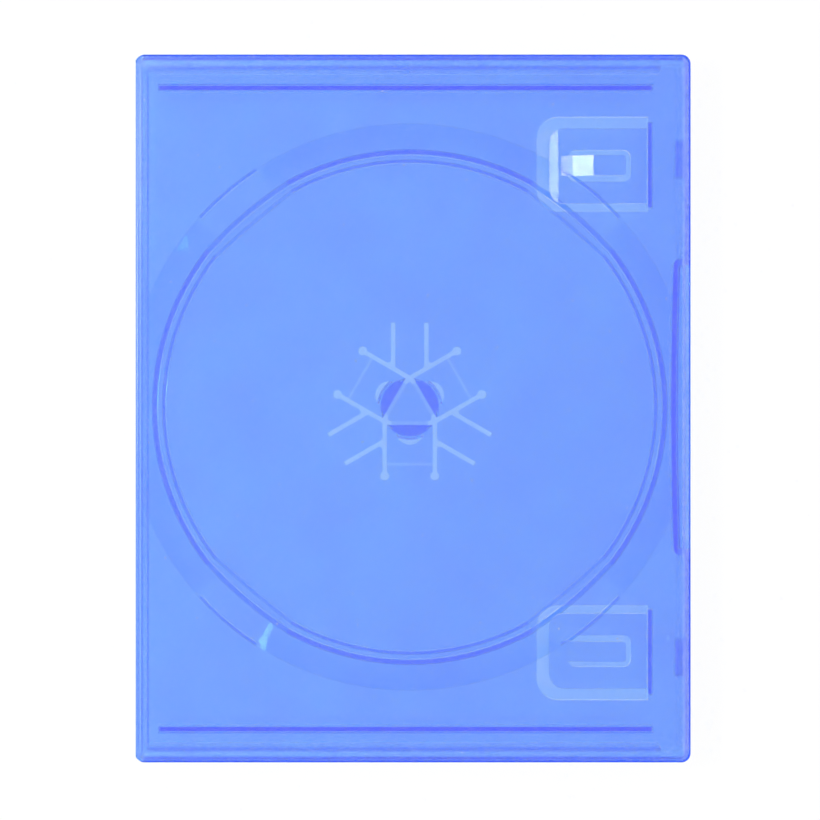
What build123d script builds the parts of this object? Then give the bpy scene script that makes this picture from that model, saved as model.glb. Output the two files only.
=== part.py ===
from build123d import *

import math
import os

# Case for one disc, closed and lying on its back: X runs from the spine to the opening side,
# Y to the top of the case and Z up to the front cover. The spine, the tray and the cover are one
# moulding with two living hinges, and a clear sleeve is welded around it. Millimetres.

# Case
case_width = 134.5
case_height = 171.5
case_depth = 14.0
corner_radius = 2.3
inner_corner_radius = 0.9
edge_radius = 0.6
back_chamfer = 0.5
film = 0.15
film_margin = 0.5
panel = 1.2
wall = 1.4
seam_gap = 0.2
hinge_gap = 0.06
wall_end_gap = 0.4

# Inner lips along the top and bottom of the tray, tied to the walls by small gussets
lip = 1.0
lip_gap = 0.75
lip_above_seam = 2.5
lip_spine_gap = 1.0
lip_opening_gap = 6.85
gusset = 1.0
gusset_count = 3
gusset_pitch = 35.85
gusset_first = 12.25

# Disc and the ring around its edge
disc_diameter = 120.0
disc_hole = 15.0
disc_thickness = 1.2
hub_offset = -0.8
hub_rise = 0.35
disc_edge_gap = 0.3
guard_rib = 0.8
guard_rib_height = 2.4
ring_groove = 1.2
ring_rib = 1.2
ring_rib_height = 3.2
band_width = 6.6
band_inner_rise = 0.25
band_outer_rise = 0.65
band_spine_gap = 0.6
notch_angle = 49.6
notch_span = 23.4
band_notch_span = 15.0
guard_notch_height = 1.3
guard_notch_dip = 0.95
ring_notch_height = 1.9
ring_notch_dip = 0.4
notch_ramp = 2.6
rim = 0.7
rim_height = 2.2

# Hub platform with its levers and tongues
platform_rise = 2.0
seat_radius = 15.5
foot_radius = 22.2
lever_width = 11.3
lever_length = 10.2
lever_slot = 1.1
lever_slot_past_flexure = 2.9
slot_junction = 0.7
bulb_diameter = 2.2
flexure_distance = 14.1
flexure_width = 0.8
web = 0.35
web_gap = 0.04
web_length = 9.0
tongue_width = 7.1
tongue_slot = 1.1
tongue_slot_end = 20.9
finger_gap = 0.35
finger_height = 3.25
finger_lead = 0.5
nib_reach = 0.55
nib_width = 6.4
nib_height = 1.2
nib_lead = 0.6
disc_clearance = 0.1
core_hole_diameter = 6.8
core_hole_past_nib = 1.25
button_corner = 0.7
button_gap = 0.5

# Thumb notch in the opening side of the tray
thumb_length = 69.4
thumb_depth = 2.35
thumb_end_depth = 1.75
thumb_wall = 1.6

# Latches on the opening side
latch_distance = 61.0
latch_length = 9.0
latch_tab = 1.0
latch_root = 1.2
latch_gap = 0.65
latch_bead = 0.2
latch_bump = 0.25
latch_rise = 0.8
latch_below_seam = 2.1

# Booklet ribs and clips on the inside of the cover
rib_edge_gap = 7.8
rib_thickness = 1.5
rib_height = 4.65
rib_spine_gap = 5.45
rib_opening_gap = 9.05
clip_edge_gap = 26.65
clip_opening_gap = 9.15
clip_post = 1.2
clip_post_length = 20.7
clip_drop = 2.2
clip_plate = 1.2
clip_length = 23.7
clip_width = 18.3
clip_corner = 3.6
clip_lip = 2.2
clip_lip_drop = 0.5
window_margin = 3.3
window_width = 23.0
window_corner = 5.2
slit_root = 4.6
slit_corner = 1.9
tongue_corner = 0.8
tongue_root = 2.8
tongue_ramp = 7.8
tongue_end_gap = 3.8
tongue_slit = 1.4
tongue_half = 2.45
tongue_lift = 1.8

# Places worked out from the sizes above
spine_x = -case_width / 2
opening_x = case_width / 2
edge_y = case_height / 2
floor_z = film + panel
roof_z = case_depth - film - panel
seam_z = case_depth / 2
tray_top = seam_z - seam_gap / 2
cover_bottom = seam_z + seam_gap / 2
wall_start = spine_x + film + panel + wall_end_gap
over = 1.0

hub_axis = Axis((hub_offset, hub_rise, 0), (0, 0, 1))
guard_inner = disc_diameter / 2 + disc_edge_gap
ring_inner = guard_inner + guard_rib + ring_groove
band_inner = ring_inner + ring_rib
band_outer = band_inner + band_width
platform_top = floor_z + platform_rise
platform_under = film + platform_rise
lever_reach = flexure_distance - lever_length
lever_angles = (270, 30, 150)
tongue_angles = (90, 210, 330)
finger_radius = disc_hole / 2 - finger_gap
nib_radius = disc_hole / 2 + nib_reach
nib_under = platform_top + disc_thickness + disc_clearance
finger_top = platform_top + finger_height
button_inradius = lever_reach - button_gap
finger_chord = lever_reach + button_gap
tongue_tip = (lever_width / 2 + lever_slot) / math.cos(math.radians(30))


def radial_plane(angle):
    """Upright plane through the hub's axis: local x runs outwards at the angle, local y is up."""
    turn = math.radians(angle)
    outward = (math.cos(turn), math.sin(turn), 0)
    sideways = (math.sin(turn), -math.cos(turn), 0)
    return Plane(origin=(hub_offset, hub_rise, 0), x_dir=outward, z_dir=sideways)


def hub_plane(angle, height):
    """Level plane at the hub: local x runs outwards at the angle."""
    turn = math.radians(angle)
    outward = (math.cos(turn), math.sin(turn), 0)
    return Plane(origin=(hub_offset, hub_rise, height), x_dir=outward, z_dir=(0, 0, 1))


def notch_end_plane(angle, end):
    """Upright plane across the band at a notch: local x runs along the band, away from the notch."""
    turn = math.radians(angle + end * band_notch_span / 2)
    outward = Vector(math.cos(turn), math.sin(turn), 0)
    corner = Vector(hub_offset, hub_rise, floor_z) + outward * band_inner
    along = Vector(-math.sin(turn), math.cos(turn), 0) * end
    return Plane(origin=corner, x_dir=along, z_dir=outward * end)


# Disc ring: a low guard rib, a taller rib and a band that rises to its outer edge. Four finger
# notches break it: there the ribs are lower and flatter over a wider stretch than the gap in the
# band, and a thin rim closes the notch outside.
notch_angles = (notch_angle, 180 - notch_angle, 180 + notch_angle, 360 - notch_angle)
ring_root = film + panel / 2
ring_left = spine_x + film + panel + band_spine_gap
ring_right = opening_x - thumb_depth - thumb_wall / 2
with BuildPart() as disc_ring:
    with BuildSketch(radial_plane(0)):
        with BuildLine():
            Polyline(
                (guard_inner, ring_root),
                (guard_inner, floor_z + guard_rib_height),
                (guard_inner + guard_rib, floor_z + guard_rib_height),
                (guard_inner + guard_rib, floor_z),
                (ring_inner, floor_z),
                (ring_inner, floor_z + ring_rib_height),
                (band_inner, floor_z + ring_rib_height),
                (band_inner, floor_z + band_inner_rise),
                (band_outer, floor_z + band_outer_rise),
                (band_outer, ring_root),
                close=True,
            )
        make_face()
    revolve(axis=hub_axis)
    notch_inner = guard_inner - over
    notch_outer = band_outer + over
    for angle in notch_angles:
        for inner, outer, span in (
            (notch_inner, band_inner, notch_span),
            (band_inner - ring_rib / 2, notch_outer, band_notch_span),
        ):
            with BuildSketch(hub_plane(angle, floor_z)):
                with BuildLine():
                    outer_arc = CenterArc((0, 0), outer, -span / 2, span)
                    inner_arc = CenterArc((0, 0), inner, -span / 2, span)
                    Line(inner_arc @ 0, outer_arc @ 0)
                    Line(inner_arc @ 1, outer_arc @ 1)
                make_face()
            extrude(amount=case_depth, mode=Mode.SUBTRACT)
        for end in (-1, 1):
            with BuildSketch(notch_end_plane(angle, end)):
                with BuildLine():
                    Polyline((0, 0), (notch_ramp, band_outer_rise), (0, band_outer_rise), close=True)
                make_face()
            extrude(amount=end * (band_width + over), mode=Mode.SUBTRACT)
        for inner, width, height, dip, span in (
            (guard_inner, guard_rib, guard_notch_height, guard_notch_dip, notch_span),
            (ring_inner, ring_rib, ring_notch_height, ring_notch_dip, notch_span),
            (band_outer - rim, rim, rim_height, 0, band_notch_span),
        ):
            half_turn = math.radians(span / 2)
            with BuildSketch(hub_plane(angle, ring_root)):
                with BuildLine():
                    edges = []
                    for radius in (inner, inner + width):
                        end_x = radius * math.cos(half_turn)
                        end_y = radius * math.sin(half_turn)
                        edges.append(ThreePointArc((end_x, -end_y), (radius - dip, 0), (end_x, end_y)))
                    Line(edges[0] @ 0, edges[1] @ 0)
                    Line(edges[0] @ 1, edges[1] @ 1)
                make_face()
            extrude(amount=floor_z + height - ring_root)
    # The band stops at a straight edge beside the spine and at the thumb notch's wall
    with BuildSketch(Plane.XY):
        with Locations((ring_left, 0)):
            Rectangle(case_width, case_height, align=(Align.MAX, Align.CENTER))
        with Locations((ring_right, 0)):
            Rectangle(case_width, case_height, align=(Align.MIN, Align.CENTER))
    extrude(amount=case_depth, mode=Mode.SUBTRACT)

# Back tray
thumb_x = opening_x - thumb_depth
thumb_end_x = opening_x - thumb_end_depth
thumb_low = hub_rise - thumb_length / 2
thumb_high = hub_rise + thumb_length / 2
with BuildSketch() as thumb_outline:
    with BuildLine():
        ThreePointArc((thumb_end_x, thumb_low), (thumb_x, hub_rise), (thumb_end_x, thumb_high))
        Polyline(
            (thumb_end_x, thumb_high),
            (opening_x + over, thumb_high),
            (opening_x + over, thumb_low),
            (thumb_end_x, thumb_low),
        )
    make_face()

lip_left = spine_x + film + panel + lip_spine_gap
lip_right = opening_x - lip_opening_gap
lip_y = edge_y - wall - lip_gap - lip / 2
with BuildPart() as back_tray:
    # Panel and outer walls, hollowed from above
    with BuildSketch(Plane.XY.offset(film)):
        RectangleRounded(case_width, case_height, corner_radius)
    extrude(amount=tray_top - film)
    chamfer(back_tray.edges().group_by(Axis.Z)[0], back_chamfer)
    with BuildSketch(Plane.XY.offset(floor_z)):
        RectangleRounded(case_width - 2 * wall, case_height - 2 * wall, inner_corner_radius)
    extrude(amount=tray_top - floor_z, mode=Mode.SUBTRACT)
    # Thumb notch: the wall steps back between two rounded ends
    with BuildSketch(Plane.XY.offset(floor_z)):
        add(thumb_outline.sketch)
        offset(amount=thumb_wall)
        Rectangle(case_width - wall, case_height - 2 * wall, mode=Mode.INTERSECT)
    extrude(amount=tray_top - floor_z)
    with BuildSketch(Plane.XY.offset(floor_z)):
        add(thumb_outline.sketch)
    extrude(amount=case_depth, mode=Mode.SUBTRACT)
    # Inner lips and gussets
    with BuildSketch(Plane.XY.offset(floor_z)):
        with Locations((lip_left, lip_y), (lip_left, -lip_y)):
            Rectangle(lip_right - lip_left, lip, align=(Align.MIN, Align.CENTER))
    extrude(amount=seam_z + lip_above_seam - floor_z)
    with BuildSketch(Plane.XY.offset(floor_z)):
        for step in range(gusset_count):
            gusset_x = spine_x + gusset_first + step * gusset_pitch
            with Locations((gusset_x, edge_y - wall), (gusset_x, -edge_y + wall + lip_gap)):
                Rectangle(gusset, lip_gap, align=(Align.CENTER, Align.MAX))
    extrude(amount=tray_top - floor_z)
    # Disc ring
    add(disc_ring.part)
    # Hub platform: the panel rises as a shallow cone to the disc's seat
    with BuildSketch(hub_plane(0, film)):
        Circle(foot_radius)
    extrude(amount=panel, mode=Mode.SUBTRACT)
    with BuildSketch(radial_plane(0)):
        with BuildLine():
            Polyline(
                (0, platform_under),
                (seat_radius, platform_under),
                (foot_radius, film),
                (foot_radius, floor_z),
                (seat_radius, platform_top),
                (0, platform_top),
                close=True,
            )
        make_face()
    revolve(axis=hub_axis)
    # Lever openings, slots with round ends and the slots of the fixed tongues, rounded where they meet
    with BuildSketch(hub_plane(0, film)) as hub_slots:
        for angle in lever_angles:
            with Locations(Location((0, 0, 0), (0, 0, angle))):
                opening_length = flexure_distance + web_gap / 2
                Rectangle(opening_length, lever_width + 2 * lever_slot, align=(Align.MIN, Align.CENTER))
                slot_length = flexure_distance + lever_slot_past_flexure
                slot_y = (lever_width + lever_slot) / 2
                with Locations((0, slot_y), (0, -slot_y)):
                    Rectangle(slot_length, lever_slot, align=(Align.MIN, Align.CENTER))
                with Locations((slot_length, slot_y), (slot_length, -slot_y)):
                    Circle(bulb_diameter / 2)
        for angle in tongue_angles:
            with Locations(Location((0, 0, 0), (0, 0, angle))):
                tongue_slot_y = (tongue_width + tongue_slot) / 2
                with Locations((tongue_tip, tongue_slot_y), (tongue_tip, -tongue_slot_y)):
                    Rectangle(tongue_slot_end - tongue_tip, tongue_slot, align=(Align.MIN, Align.CENTER))
        junctions = hub_slots.vertices().filter_by(
            lambda vertex: tongue_tip + lever_slot < math.hypot(vertex.X, vertex.Y) < flexure_distance
        )
        fillet(junctions, slot_junction)
    extrude(amount=case_depth, mode=Mode.SUBTRACT)
    for angle in lever_angles:
        with BuildSketch(hub_plane(angle, platform_under + web)):
            with Locations((flexure_distance, 0)):
                Rectangle(flexure_width / 2, lever_width + lever_slot, align=(Align.MIN, Align.CENTER))
        extrude(amount=case_depth, mode=Mode.SUBTRACT)
    # Latch bumps on the opening wall
    latch_z = seam_z - latch_below_seam
    bump_z = latch_z + latch_rise
    bump_x = opening_x - wall
    for side in (-1, 1):
        with BuildSketch(Plane.XZ.offset(-side * latch_distance)):
            with BuildLine():
                Polyline(
                    (bump_x, bump_z + latch_rise),
                    (bump_x - latch_bump, bump_z + latch_rise / 2),
                    (bump_x, bump_z),
                    close=True,
                )
            make_face()
        extrude(amount=latch_length / 2, both=True)
    # Hinge side: open towards the spine, with a mitred panel edge
    with BuildSketch(Plane.XZ):
        with BuildLine():
            Polyline(
                (spine_x + hinge_gap / 2, 0),
                (wall_start, wall_start - spine_x - hinge_gap / 2),
                (wall_start, case_depth),
                (spine_x - over, case_depth),
                (spine_x - over, 0),
                close=True,
            )
        make_face()
    extrude(amount=case_height, both=True, mode=Mode.SUBTRACT)

# Hub levers: each carries a curved finger with a nib that hooks over the disc's hole. A thin
# web joins it to the platform outside and to the button inside.
hub_levers = []
for angle in lever_angles:
    with BuildPart() as hub_lever:
        with BuildSketch(hub_plane(angle, platform_under)):
            with Locations((finger_chord, 0)):
                Rectangle(
                    flexure_distance - web_gap / 2 - finger_chord, lever_width, align=(Align.MIN, Align.CENTER)
                )
        extrude(amount=panel)
        with BuildSketch(hub_plane(angle, platform_under + web)):
            with Locations((flexure_distance, 0)):
                Rectangle(flexure_width / 2, lever_width, align=(Align.MAX, Align.CENTER))
        extrude(amount=panel, mode=Mode.SUBTRACT)
        with BuildSketch(hub_plane(angle, platform_under)):
            with Locations((nib_radius + core_hole_past_nib - core_hole_diameter / 2, 0)):
                Circle(core_hole_diameter / 2)
        extrude(amount=panel, mode=Mode.SUBTRACT)
        with BuildSketch(hub_plane(angle, platform_under)):
            with Locations((lever_reach + web_gap / 2, 0)):
                Rectangle(button_gap, web_length, align=(Align.MIN, Align.CENTER))
        extrude(amount=web)
        with BuildSketch(hub_plane(angle, platform_under)):
            Circle(finger_radius)
            with Locations((finger_chord, 0)):
                Rectangle(finger_radius, 2 * lever_width, align=(Align.MIN, Align.CENTER), mode=Mode.INTERSECT)
        extrude(amount=finger_top - platform_under)
        chamfer(hub_lever.faces().sort_by(Axis.Z)[-1].edges().filter_by(GeomType.CIRCLE), finger_lead)
        with BuildSketch(hub_plane(angle, nib_under)):
            Circle(nib_radius)
            with Locations((finger_chord, 0)):
                Rectangle(nib_radius, nib_width, align=(Align.MIN, Align.CENTER), mode=Mode.INTERSECT)
        extrude(amount=nib_height)
        nib_edges = hub_lever.edges().filter_by(GeomType.CIRCLE).filter_by(
            lambda edge: abs(edge.radius - nib_radius) < web_gap
        )
        chamfer(nib_edges.sort_by(Axis.Z)[-1], nib_lead)
    hub_levers.append(hub_lever)

# Push button: a rounded triangle between the levers, joined to each by half of a thin web
with BuildPart() as hub_button:
    with BuildSketch(hub_plane(0, platform_under)) as button_outline:
        RegularPolygon(button_inradius, 3, major_radius=False, rotation=tongue_angles[0])
        fillet(button_outline.vertices(), button_corner)
    extrude(amount=panel)
    for angle in lever_angles:
        with BuildSketch(hub_plane(angle, platform_under)):
            with Locations((lever_reach - web_gap / 2, 0)):
                Rectangle(button_gap, web_length, align=(Align.MAX, Align.CENTER))
        extrude(amount=web)

# Spine panel between the hinges, with mitred edges
with BuildPart() as spine:
    with BuildSketch(Plane.XZ):
        with BuildLine():
            Polyline(
                (spine_x + film, film + hinge_gap / 2),
                (spine_x + film, case_depth - film - hinge_gap / 2),
                (spine_x + film + panel, roof_z - hinge_gap / 2),
                (spine_x + film + panel, floor_z + hinge_gap / 2),
                close=True,
            )
        make_face()
    extrude(amount=case_height, both=True)
    with BuildSketch(Plane.XY):
        RectangleRounded(case_width, case_height, corner_radius)
    extrude(amount=case_depth, mode=Mode.INTERSECT)

# Front cover
rib_distance = edge_y - rib_edge_gap
clip_distance = edge_y - clip_edge_gap
clip_end = opening_x - clip_opening_gap
clip_start = clip_end - clip_post - clip_length
clip_top = roof_z - clip_drop
clip_under = clip_top - clip_plate
with BuildPart() as front_cover:
    # Panel and outer walls, hollowed from below
    with BuildSketch(Plane.XY.offset(cover_bottom)):
        RectangleRounded(case_width, case_height, corner_radius)
    extrude(amount=case_depth - film - cover_bottom)
    fillet(front_cover.edges().group_by(Axis.Z)[-1], edge_radius)
    with BuildSketch(Plane.XY.offset(cover_bottom)):
        RectangleRounded(case_width - 2 * wall, case_height - 2 * wall, inner_corner_radius)
    extrude(amount=roof_z - cover_bottom, mode=Mode.SUBTRACT)
    # Booklet ribs
    with BuildSketch(Plane.XY.offset(roof_z)):
        with Locations((spine_x + rib_spine_gap, rib_distance), (spine_x + rib_spine_gap, -rib_distance)):
            Rectangle(
                case_width - rib_spine_gap - rib_opening_gap, rib_thickness, align=(Align.MIN, Align.CENTER)
            )
    extrude(amount=-rib_height)
    # Booklet clips: a plate on a post below a window, with a sprung tongue cut out of the plate
    for side in (-1, 1):
        clip_y = side * clip_distance
        with BuildSketch(Plane.XY.offset(roof_z)):
            with BuildLine():
                window_x = clip_start - window_margin
                Polyline(
                    (clip_end - clip_post, clip_y - window_width / 2),
                    (window_x, clip_y - window_width / 2),
                    (window_x, clip_y + window_width / 2),
                    (clip_end - clip_post, clip_y + window_width / 2),
                    close=True,
                )
            make_face()
        extrude(amount=panel + film, mode=Mode.SUBTRACT)
        fillet(
            front_cover.edges(Select.LAST).filter_by(Axis.Z).group_by(Axis.X)[0],
            window_corner,
        )
        with BuildSketch(Plane.XY.offset(roof_z)):
            with Locations((clip_end, clip_y)):
                Rectangle(clip_post, clip_post_length, align=(Align.MAX, Align.CENTER))
        extrude(amount=clip_under - roof_z)
        with BuildSketch(Plane.XZ.offset(-clip_y)):
            with BuildLine():
                Polyline(
                    (clip_start, clip_top - clip_lip_drop),
                    (clip_start + clip_lip, clip_top),
                    (clip_end - clip_post, clip_top),
                    (clip_end - clip_post, clip_under),
                    (clip_start + clip_lip, clip_under),
                    (clip_start, clip_under - clip_lip_drop),
                    close=True,
                )
            make_face()
        extrude(amount=clip_width / 2, both=True)
        fillet(front_cover.edges(Select.LAST).filter_by(Axis.Z).group_by(Axis.X)[0], clip_corner)
        slit_x = clip_start + slit_root
        slit_end = clip_end - clip_post - tongue_end_gap
        tongue_x = clip_start + tongue_root
        with BuildSketch(Plane.XY.offset(clip_under)):
            with Locations(((slit_x + slit_end) / 2, clip_y)):
                RectangleRounded(slit_end - slit_x, 2 * (tongue_half + tongue_slit), slit_corner)
        extrude(amount=clip_plate, mode=Mode.SUBTRACT)
        with BuildSketch(Plane.XZ.offset(-clip_y)):
            with BuildLine():
                Polyline(
                    (tongue_x, clip_under),
                    (tongue_x + tongue_ramp, clip_under + tongue_lift),
                    (slit_end - tongue_slit, clip_under + tongue_lift),
                    (slit_end - tongue_slit, clip_top + tongue_lift),
                    (tongue_x + tongue_ramp, clip_top + tongue_lift),
                    (tongue_x, clip_top),
                    close=True,
                )
            make_face()
        extrude(amount=tongue_half, both=True)
        fillet(front_cover.edges(Select.LAST).filter_by(Axis.Z).group_by(Axis.X)[-1], tongue_corner)
    # Latch tabs on the opening wall, each with a small bead under the tray's bump
    tab_x = opening_x - wall - latch_gap
    for side in (-1, 1):
        with BuildSketch(Plane.XZ.offset(-side * latch_distance)):
            with BuildLine():
                Polyline(
                    (tab_x - latch_tab, cover_bottom + seam_gap + latch_root),
                    (opening_x - wall / 2, cover_bottom + seam_gap + latch_root),
                    (opening_x - wall / 2, cover_bottom + seam_gap),
                    (tab_x, cover_bottom + seam_gap),
                    (tab_x, latch_z + latch_rise),
                    (tab_x + latch_bead, latch_z + latch_rise / 2),
                    (tab_x, latch_z),
                    (tab_x - latch_tab, latch_z),
                    close=True,
                )
            make_face()
        extrude(amount=latch_length / 2, both=True)
    # Hinge side: open towards the spine, with a mitred panel edge
    with BuildSketch(Plane.XZ):
        with BuildLine():
            Polyline(
                (spine_x + hinge_gap / 2, case_depth),
                (wall_start, case_depth - (wall_start - spine_x - hinge_gap / 2)),
                (wall_start, 0),
                (spine_x - over, 0),
                (spine_x - over, case_depth),
                close=True,
            )
        make_face()
    extrude(amount=case_height, both=True, mode=Mode.SUBTRACT)

# Clear sleeve over the back, the spine and the front
film_left = spine_x + film + hinge_gap
film_right = opening_x - film_margin
film_height = case_height - 2 * film_margin
with BuildPart() as sleeve_back:
    with BuildSketch(Plane.XY):
        with Locations(((film_left + film_right) / 2, 0)):
            RectangleRounded(film_right - film_left, film_height, corner_radius)
    extrude(amount=film)

with BuildPart() as sleeve_spine:
    with BuildSketch(Plane.XY.offset(film + hinge_gap)):
        with Locations((spine_x, 0)):
            Rectangle(film, case_height - 2 * corner_radius, align=(Align.MIN, Align.CENTER))
    extrude(amount=case_depth - 2 * film - 2 * hinge_gap)

with BuildPart() as sleeve_front:
    with BuildSketch(Plane.XY.offset(case_depth - film)):
        with Locations(((film_left + film_right) / 2, 0)):
            RectangleRounded(film_right - film_left, film_height, corner_radius)
    extrude(amount=film)

os.makedirs("parts", exist_ok=True)
pieces = {
    "back_tray": back_tray,
    "hub_button": hub_button,
    "spine": spine,
    "front_cover": front_cover,
    "sleeve_back": sleeve_back,
    "sleeve_spine": sleeve_spine,
    "sleeve_front": sleeve_front,
}
for index, hub_lever in enumerate(hub_levers, 1):
    pieces[f"hub_lever_{index}"] = hub_lever
for name, piece in pieces.items():
    piece.part.label = name
    export_step(piece.part, f"parts/{name}.step")
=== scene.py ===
import bpy
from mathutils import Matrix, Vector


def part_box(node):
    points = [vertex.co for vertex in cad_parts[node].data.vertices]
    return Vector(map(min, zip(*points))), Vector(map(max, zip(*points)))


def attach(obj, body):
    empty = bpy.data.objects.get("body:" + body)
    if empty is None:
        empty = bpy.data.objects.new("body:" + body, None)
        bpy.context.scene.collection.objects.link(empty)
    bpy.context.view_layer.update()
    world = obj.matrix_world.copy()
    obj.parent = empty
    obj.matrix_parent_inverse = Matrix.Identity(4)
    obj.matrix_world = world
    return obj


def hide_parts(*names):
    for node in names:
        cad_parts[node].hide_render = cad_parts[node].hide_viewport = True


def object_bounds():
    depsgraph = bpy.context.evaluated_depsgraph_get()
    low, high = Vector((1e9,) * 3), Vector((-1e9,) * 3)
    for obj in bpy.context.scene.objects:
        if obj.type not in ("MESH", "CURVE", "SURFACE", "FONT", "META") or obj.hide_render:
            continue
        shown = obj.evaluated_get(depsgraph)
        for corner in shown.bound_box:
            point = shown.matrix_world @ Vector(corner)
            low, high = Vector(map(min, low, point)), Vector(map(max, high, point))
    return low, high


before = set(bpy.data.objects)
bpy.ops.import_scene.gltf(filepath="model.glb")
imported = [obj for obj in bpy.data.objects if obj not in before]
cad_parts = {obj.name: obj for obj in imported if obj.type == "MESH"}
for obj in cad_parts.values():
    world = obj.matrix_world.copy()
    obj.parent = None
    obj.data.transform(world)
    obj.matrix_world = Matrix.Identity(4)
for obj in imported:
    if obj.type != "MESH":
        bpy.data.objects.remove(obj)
cad_low, cad_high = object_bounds()

# Case moulding: tray, spine and cover, with the hub's levers and button.
# One shot of blue translucent polypropylene, 1.2 mm thick, joined by living hinges.
# The colour is in the body of the plastic, so ribs and posts seen end-on are deeper.
moulding = ("back_tray", "spine", "front_cover", "hub_button", "hub_lever_1", "hub_lever_2", "hub_lever_3")
plastic_index = 1.49
plastic_roughness = -0.3
plastic_scuffing = 0.5
cloud_detail = 3.0
cloud_roughness = 0.6
flow_scale = 60.0
flow_drift = 0.45
flow_low = 0.36
flow_high = 0.64
flow_height = 0.00002
flow_strength = 0.25
tint_light = (0.441, 0.658, 1.0, 1.0)
tint_deep = (0.399, 0.542, 1.0, 1.0)
# Painted shade: the dark blue put on the top faces of the hinge strip
hinge_painted_shade = (0.06, 0.24, 1.0, 1.0)
mitre_slant = 0.45
seam_z = 0.007
seam_reach = 0.004
colour_per_mm = (0.416, 0.746, 0.998)
mm_per_m = 1000.0
panel_depth = 1.2
rib_deepening = 1.5
end_wall_y = 0.0823
side_wall_x = 0.0654
latch_start_y = 0.040
latch_inset = 0.0024
end_wall_depth = 8.0
spine_depth = 5.3
opening_wall_depth = 6.1
side_extra_depth = 1.1
inner_depth = 40.0
wall_haze = 0.22


def feed(tree, sockets, sources):
    """Links each socket to its source, or sets it where the source is a plain value."""
    for socket, source in zip(sockets, sources):
        if isinstance(source, bpy.types.NodeSocket):
            tree.links.new(source, socket)
        else:
            socket.default_value = source


def add_math(tree, operation, *sources):
    """Adds a Math node and gives its output."""
    node = tree.nodes.new("ShaderNodeMath")
    node.operation = operation
    feed(tree, node.inputs, sources)
    return node.outputs["Value"]


def add_mix(tree, kind, factor, first, second):
    """Adds a Mix node for numbers or colours and gives its output."""
    node = tree.nodes.new("ShaderNodeMix")
    node.data_type = kind
    feed(tree, (node.inputs["Factor"], node.inputs["A"], node.inputs["B"]), (factor, first, second))
    return node.outputs["Result"]


def add_range(tree, value, low, high, at_low=0.0, at_high=1.0):
    """Adds a Map Range node that runs from one value at the low end to another at the high end."""
    node = tree.nodes.new("ShaderNodeMapRange")
    feed(tree, [node.inputs["Value"]], [value])
    node.inputs["From Min"].default_value = low
    node.inputs["From Max"].default_value = high
    node.inputs["To Min"].default_value = at_low
    node.inputs["To Max"].default_value = at_high
    return node.outputs["Result"]


def split(tree, vector):
    """Gives the X, Y and Z outputs of a vector."""
    node = tree.nodes.new("ShaderNodeSeparateXYZ")
    tree.links.new(vector, node.inputs["Vector"])
    return node.outputs


# Roughness below zero counts as smooth, so scuffs show only where the clouds are thick
scuffs = bpy.data.node_groups.new("surface_scuffs", "ShaderNodeTree")
for name in ("Scale", "Amount", "Roughness"):
    scuffs.interface.new_socket(name, in_out="INPUT", socket_type="NodeSocketFloat")
for name in ("Roughness", "Height"):
    scuffs.interface.new_socket(name, in_out="OUTPUT", socket_type="NodeSocketFloat")
given = scuffs.nodes.new("NodeGroupInput").outputs
result = scuffs.nodes.new("NodeGroupOutput").inputs
place = scuffs.nodes.new("ShaderNodeTexCoord")
clouds = scuffs.nodes.new("ShaderNodeTexNoise")
clouds.inputs["Detail"].default_value = cloud_detail
clouds.inputs["Roughness"].default_value = cloud_roughness
scuffs.links.new(place.outputs["Object"], clouds.inputs["Vector"])
scuffs.links.new(given["Scale"], clouds.inputs["Scale"])
scuffed = add_math(scuffs, "MULTIPLY_ADD", clouds.outputs["Fac"], given["Amount"], given["Roughness"])
scuffed.node.use_clamp = True
scuffs.links.new(scuffed, result["Roughness"])
scuffs.links.new(clouds.outputs["Fac"], result["Height"])

plastic = bpy.data.materials.new("blue_polypropylene")
plastic.use_nodes = True
tree = plastic.node_tree
shader = tree.nodes["Principled BSDF"]
shader.inputs["IOR"].default_value = plastic_index
shader.inputs["Transmission Weight"].default_value = 1.0
surface = tree.nodes.new("ShaderNodeGroup")
surface.node_tree = scuffs
surface.inputs["Scale"].default_value = flow_scale
surface.inputs["Amount"].default_value = plastic_scuffing
surface.inputs["Roughness"].default_value = plastic_roughness
flow = tree.nodes.new("ShaderNodeBump")
flow.inputs["Strength"].default_value = flow_strength
flow.inputs["Distance"].default_value = flow_height
tree.links.new(surface.outputs["Height"], flow.inputs["Height"])
tree.links.new(flow.outputs["Normal"], shader.inputs["Normal"])
place = tree.nodes.new("ShaderNodeTexCoord")
x, y, z = split(tree, place.outputs["Object"])
lean_x, lean_y, lean_z = split(tree, place.outputs["Normal"])
from_middle_x = add_math(tree, "ABSOLUTE", x)
from_middle_y = add_math(tree, "ABSOLUTE", y)
ray = tree.nodes.new("ShaderNodeLightPath")
face = tree.nodes.new("ShaderNodeNewGeometry")

# The tint drifts in faint clouds and from the spine to the opening side. On the hinge's top faces a dark
# blue is painted in as shade, to darken the hinge seen end-on where light from the side would brighten it.
clouded = add_range(tree, surface.outputs["Height"], flow_low, flow_high)
across = add_range(tree, x, -side_wall_x, side_wall_x)
drift = add_mix(tree, "FLOAT", flow_drift, clouded, across)
tint = add_mix(tree, "RGBA", drift, tint_light, tint_deep)
# Painted shade: the hinge strip's top faces take the dark blue instead of the plastic's tint
at_hinge = add_math(tree, "LESS_THAN", x, -side_wall_x)
looks_up = add_math(tree, "GREATER_THAN", lean_z, mitre_slant)
painted_shade_strip = add_math(tree, "MULTIPLY", at_hinge, looks_up)
entry_colour = add_mix(tree, "RGBA", painted_shade_strip, tint, hinge_painted_shade)

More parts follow.
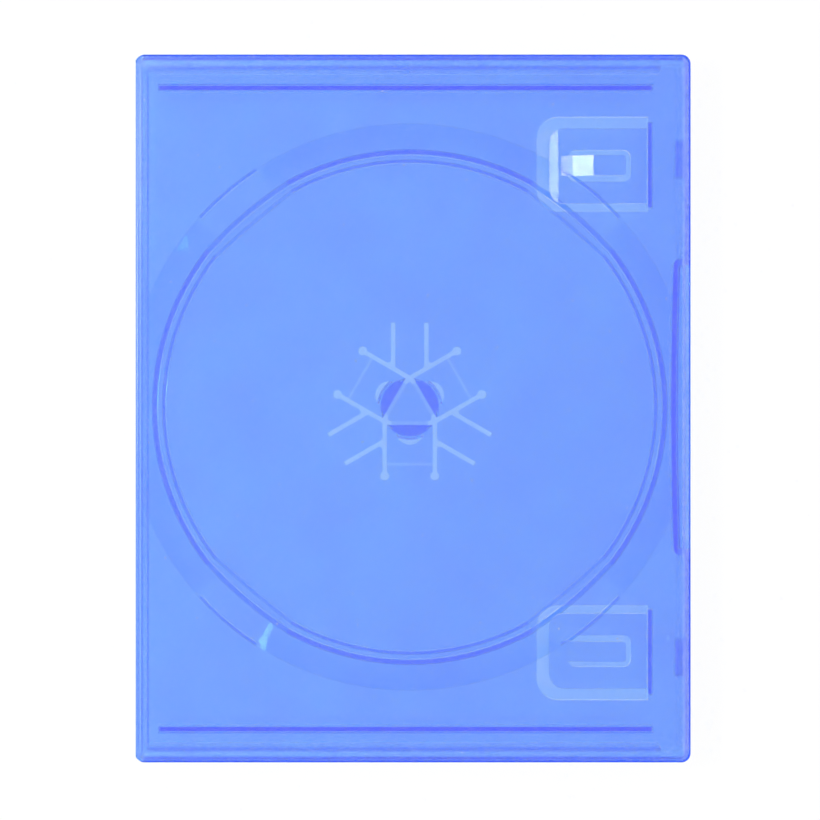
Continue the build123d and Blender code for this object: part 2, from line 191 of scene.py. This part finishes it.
# Light from the sides brightens the outer walls, so there only a limited length of plastic counts
past_thumb = add_math(tree, "GREATER_THAN", from_middle_y, latch_start_y)
opening_half = add_math(tree, "GREATER_THAN", x, 0.0)
at_latch = add_math(tree, "MULTIPLY", past_thumb, opening_half)
side_edge = add_math(tree, "MULTIPLY_ADD", at_latch, -latch_inset, side_wall_x)
in_side_wall = add_math(tree, "GREATER_THAN", from_middle_x, side_edge)
in_end_wall = add_math(tree, "GREATER_THAN", from_middle_y, end_wall_y)
side_depth = add_range(tree, x, -side_wall_x, side_wall_x, spine_depth, opening_wall_depth)
side_limit = add_mix(tree, "FLOAT", in_side_wall, inner_depth, side_depth)
end_limit = add_mix(tree, "FLOAT", in_end_wall, inner_depth, end_wall_depth)
limit = add_math(tree, "MINIMUM", side_limit, end_limit)

# The outer walls are hazier than the flat panels
in_wall = add_math(tree, "MAXIMUM", in_side_wall, in_end_wall)
haze = add_math(tree, "MULTIPLY_ADD", in_wall, wall_haze, surface.outputs["Roughness"])
tree.links.new(haze, shader.inputs["Roughness"])

# The colour that a ray takes on its way through the plastic, deeper where it runs along a rib
panels = add_math(tree, "MULTIPLY", ray.outputs["Ray Length"], mm_per_m / panel_depth)
deepened = add_math(tree, "POWER", panels, rib_deepening)
millimetres = add_math(tree, "MULTIPLY", deepened, panel_depth)
counted = add_math(tree, "MINIMUM", millimetres, limit)
at_side = add_math(tree, "GREATER_THAN", from_middle_x, side_wall_x)
depth = add_math(tree, "MULTIPLY_ADD", at_side, side_extra_depth, counted)
exit_colour = tree.nodes.new("ShaderNodeCombineColor")
for channel, share in zip(("Red", "Green", "Blue"), colour_per_mm):
    tree.links.new(add_math(tree, "POWER", share, depth), exit_colour.inputs[channel])
colour = add_mix(tree, "RGBA", face.outputs["Backfacing"], entry_colour, exit_colour.outputs["Color"])
tree.links.new(colour, shader.inputs["Base Color"])

# Each living hinge is one web: where it is closed, light passes its mitred seam unbent
lean = add_math(tree, "MULTIPLY", lean_x, lean_z)
half = add_math(tree, "SIGN", add_math(tree, "SUBTRACT", z, seam_z))
mitre = add_math(tree, "GREATER_THAN", add_math(tree, "MULTIPLY", lean, half), mitre_slant)
seam = add_math(tree, "MULTIPLY", mitre, at_hinge)
closed = add_math(tree, "LESS_THAN", ray.outputs["Ray Length"], seam_reach)
unbent = add_math(tree, "MULTIPLY", seam, closed)
tree.links.new(add_math(tree, "SUBTRACT", 1.0, unbent), shader.inputs["Alpha"])

for name in moulding:
    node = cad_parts[name]
    node.data.materials.clear()
    node.data.materials.append(plastic)

# Clear sleeve: one sheet of polypropylene film wrapped around back, spine and front.
# The back and front faces are plates with round corners, the spine face a plain plate, each with a pressed
# weld border, a hair off the case.
# The film is hazy, with a crimped weld along the opening side and a few specks of dust.
film_gap = 0.00003
film_corner = 0.0023
film_corner_steps = 6
film_scuff_scale = 90.0
film_scuffing = 0.12
film_roughness = 0.08
film_haze = 0.04
veil_thin = (0.82, 0.9, 1.0, 1.0)
veil_thick = (0.95, 0.97, 1.0, 1.0)
weld_width = 0.0013
weld_press = 0.00003
weld_haze = 0.11
weld_x = 0.0652
weld_grain = 900.0
weld_detail = 1.0
speck_cells = 42.0
speck_radius = 0.007
speck_share = 0.35

film = bpy.data.materials.new("clear_sleeve_film")
film.use_nodes = True
tree = film.node_tree
shader = tree.nodes["Principled BSDF"]
shader.inputs["IOR"].default_value = plastic_index
surface = tree.nodes.new("ShaderNodeGroup")
surface.node_tree = scuffs
surface.inputs["Scale"].default_value = film_scuff_scale
surface.inputs["Amount"].default_value = film_scuffing
surface.inputs["Roughness"].default_value = film_roughness
tree.links.new(surface.outputs["Roughness"], shader.inputs["Roughness"])
veil = add_mix(tree, "RGBA", surface.outputs["Height"], veil_thin, veil_thick)
tree.links.new(veil, shader.inputs["Base Color"])
place = tree.nodes.new("ShaderNodeTexCoord")
x, y, z = split(tree, place.outputs["Object"])
crimp = tree.nodes.new("ShaderNodeTexNoise")
crimp.inputs["Scale"].default_value = weld_grain
crimp.inputs["Detail"].default_value = weld_detail
tree.links.new(place.outputs["Object"], crimp.inputs["Vector"])
weld = add_math(tree, "MULTIPLY", add_math(tree, "GREATER_THAN", x, weld_x), crimp.outputs["Fac"])
haze = add_math(tree, "MULTIPLY_ADD", weld, weld_haze, film_haze)
dust = tree.nodes.new("ShaderNodeTexVoronoi")
dust.voronoi_dimensions = "2D"
dust.inputs["Scale"].default_value = speck_cells
tree.links.new(place.outputs["Object"], dust.inputs["Vector"])
speck = add_math(tree, "LESS_THAN", dust.outputs["Distance"], speck_radius)
tree.links.new(add_math(tree, "MULTIPLY_ADD", speck, speck_share, haze), shader.inputs["Alpha"])

for name, body_name, flat, outward in (
    ("sleeve_back", "tray", 2, -1),
    ("sleeve_spine", "spine", 0, -1),
    ("sleeve_front", "cover", 2, 1),
):
    low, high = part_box(name)
    bpy.ops.object.select_all(action="DESELECT")
    bpy.ops.mesh.primitive_plane_add(size=1)
    sheet = bpy.context.object
    sheet.name = f"{name}_film"
    outside = high[flat] if outward > 0 else low[flat]
    along = [axis for axis in range(3) if axis != flat]
    for vertex in sheet.data.vertices:
        far = (vertex.co.x > 0, vertex.co.y > 0)
        for axis, beyond in zip(along, far):
            vertex.co[axis] = high[axis] if beyond else low[axis]
        vertex.co[flat] = outside - outward * weld_press
    sheet.data.update()
    inside_out = sheet.data.polygons[0].normal[flat] * outward < 0
    bpy.ops.object.mode_set(mode="EDIT")
    bpy.ops.mesh.select_all(action="SELECT")
    if inside_out:
        bpy.ops.mesh.flip_normals()
    if name != "sleeve_spine":
        bpy.ops.mesh.bevel(offset=film_corner, segments=film_corner_steps, affect="VERTICES")
    bpy.ops.mesh.select_all(action="SELECT")
    bpy.ops.mesh.inset(thickness=weld_width, depth=weld_press)
    bpy.ops.object.mode_set(mode="OBJECT")
    thick = sheet.modifiers.new("thick", "SOLIDIFY")
    thick.thickness = high[flat] - low[flat] - film_gap - weld_press
    thick.offset = -1.0
    bpy.ops.object.modifier_apply(modifier="thick")
    sheet.data.materials.append(film)
    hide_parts(name)
    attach(sheet, body_name)

# Studio: a white table under an even white dome, with three small softboxes to the upper left that
# glint in the clip and in one notch of the ring. The camera looks straight down on the front.
photo_size = 820
photo_scale = 4134.0
camera_x = -0.00073
camera_y = -0.000365
camera_height = 0.520
camera_sensor = 36.0
camera_reach = 20.0
table_size = 6.0
table_gap = 0.0002
table_white = (0.97, 0.97, 0.97, 1.0)
table_roughness = 0.9
camera_share = 0.94
glass_share = 0.38
dome_strength = 0.95
softbox_z = 0.62
light_bounces = 32
film_layers = 16
noise_limit = 0.2
inner_bounces = 6
inner_reach = 0.0004

bpy.ops.object.select_all(action="DESELECT")
bpy.ops.mesh.primitive_plane_add(size=table_size, location=(0, 0, -table_gap))
floor = bpy.context.object
floor.name = "table"
table = bpy.data.materials.new("white_table")
table.use_nodes = True
tree = table.node_tree
shader = tree.nodes["Principled BSDF"]
shader.inputs["Base Color"].default_value = table_white
shader.inputs["Roughness"].default_value = table_roughness
shader.inputs["Specular IOR Level"].default_value = 0.0
ray = tree.nodes.new("ShaderNodeLightPath")
mirrored = add_math(tree, "MAXIMUM", ray.outputs["Is Transmission Ray"], ray.outputs["Is Glossy Ray"])
seen = add_math(tree, "MULTIPLY", ray.outputs["Is Camera Ray"], camera_share)
plain_white = add_math(tree, "MULTIPLY_ADD", mirrored, glass_share, seen)
white = tree.nodes.new("ShaderNodeEmission")
white.inputs["Strength"].default_value = 1.0
blend = tree.nodes.new("ShaderNodeMixShader")
feed(tree, blend.inputs, (plain_white, shader.outputs["BSDF"], white.outputs["Emission"]))
tree.links.new(blend.outputs["Shader"], tree.nodes["Material Output"].inputs["Surface"])
floor.data.materials.append(table)

world = bpy.data.worlds.new("white_dome")
world.use_nodes = True
dome = world.node_tree.nodes["Background"]
dome.inputs["Color"].default_value = (1.0, 1.0, 1.0, 1.0)
dome.inputs["Strength"].default_value = dome_strength
world.cycles.sampling_method = "NONE"
scene = bpy.context.scene
scene.world = world

for name, (lamp_x, lamp_y), (width, height), power in (
    ("near_softbox", (-0.177, 0.138), (0.053, 0.062), 0.125),
    ("near_fill", (-0.224, 0.138), (0.040, 0.062), 0.05),
    ("far_softbox", (-0.362, 0.050), (0.075, 0.075), 2.0),
):
    light = bpy.data.lights.new(name, "AREA")
    light.shape = "RECTANGLE"
    light.size = width
    light.size_y = height
    light.energy = power
    softbox = bpy.data.objects.new(name, light)
    softbox.location = (lamp_x, lamp_y, softbox_z)
    scene.collection.objects.link(softbox)

lens = bpy.data.cameras.new("camera")
lens.sensor_width = camera_sensor
lens.lens = camera_sensor * camera_height * photo_scale / photo_size
lens.clip_end = camera_reach
camera = bpy.data.objects.new("camera", lens)
camera.location = (camera_x, camera_y, cad_high.z + camera_height)
scene.collection.objects.link(camera)
scene.camera = camera

scene.view_settings.view_transform = "Standard"
scene.cycles.blur_glossy = 0.0
scene.cycles.max_bounces = light_bounces
scene.cycles.transmission_bounces = light_bounces
scene.cycles.glossy_bounces = light_bounces
scene.cycles.transparent_max_bounces = film_layers
scene.cycles.adaptive_threshold = noise_limit

# Light that runs on inside the plastic leaves it after a few inner reflections
scene.cycles.use_fast_gi = True
scene.cycles.fast_gi_method = "REPLACE"
scene.cycles.ao_bounces = inner_bounces
scene.cycles.ao_bounces_render = inner_bounces
world.light_settings.distance = inner_reach
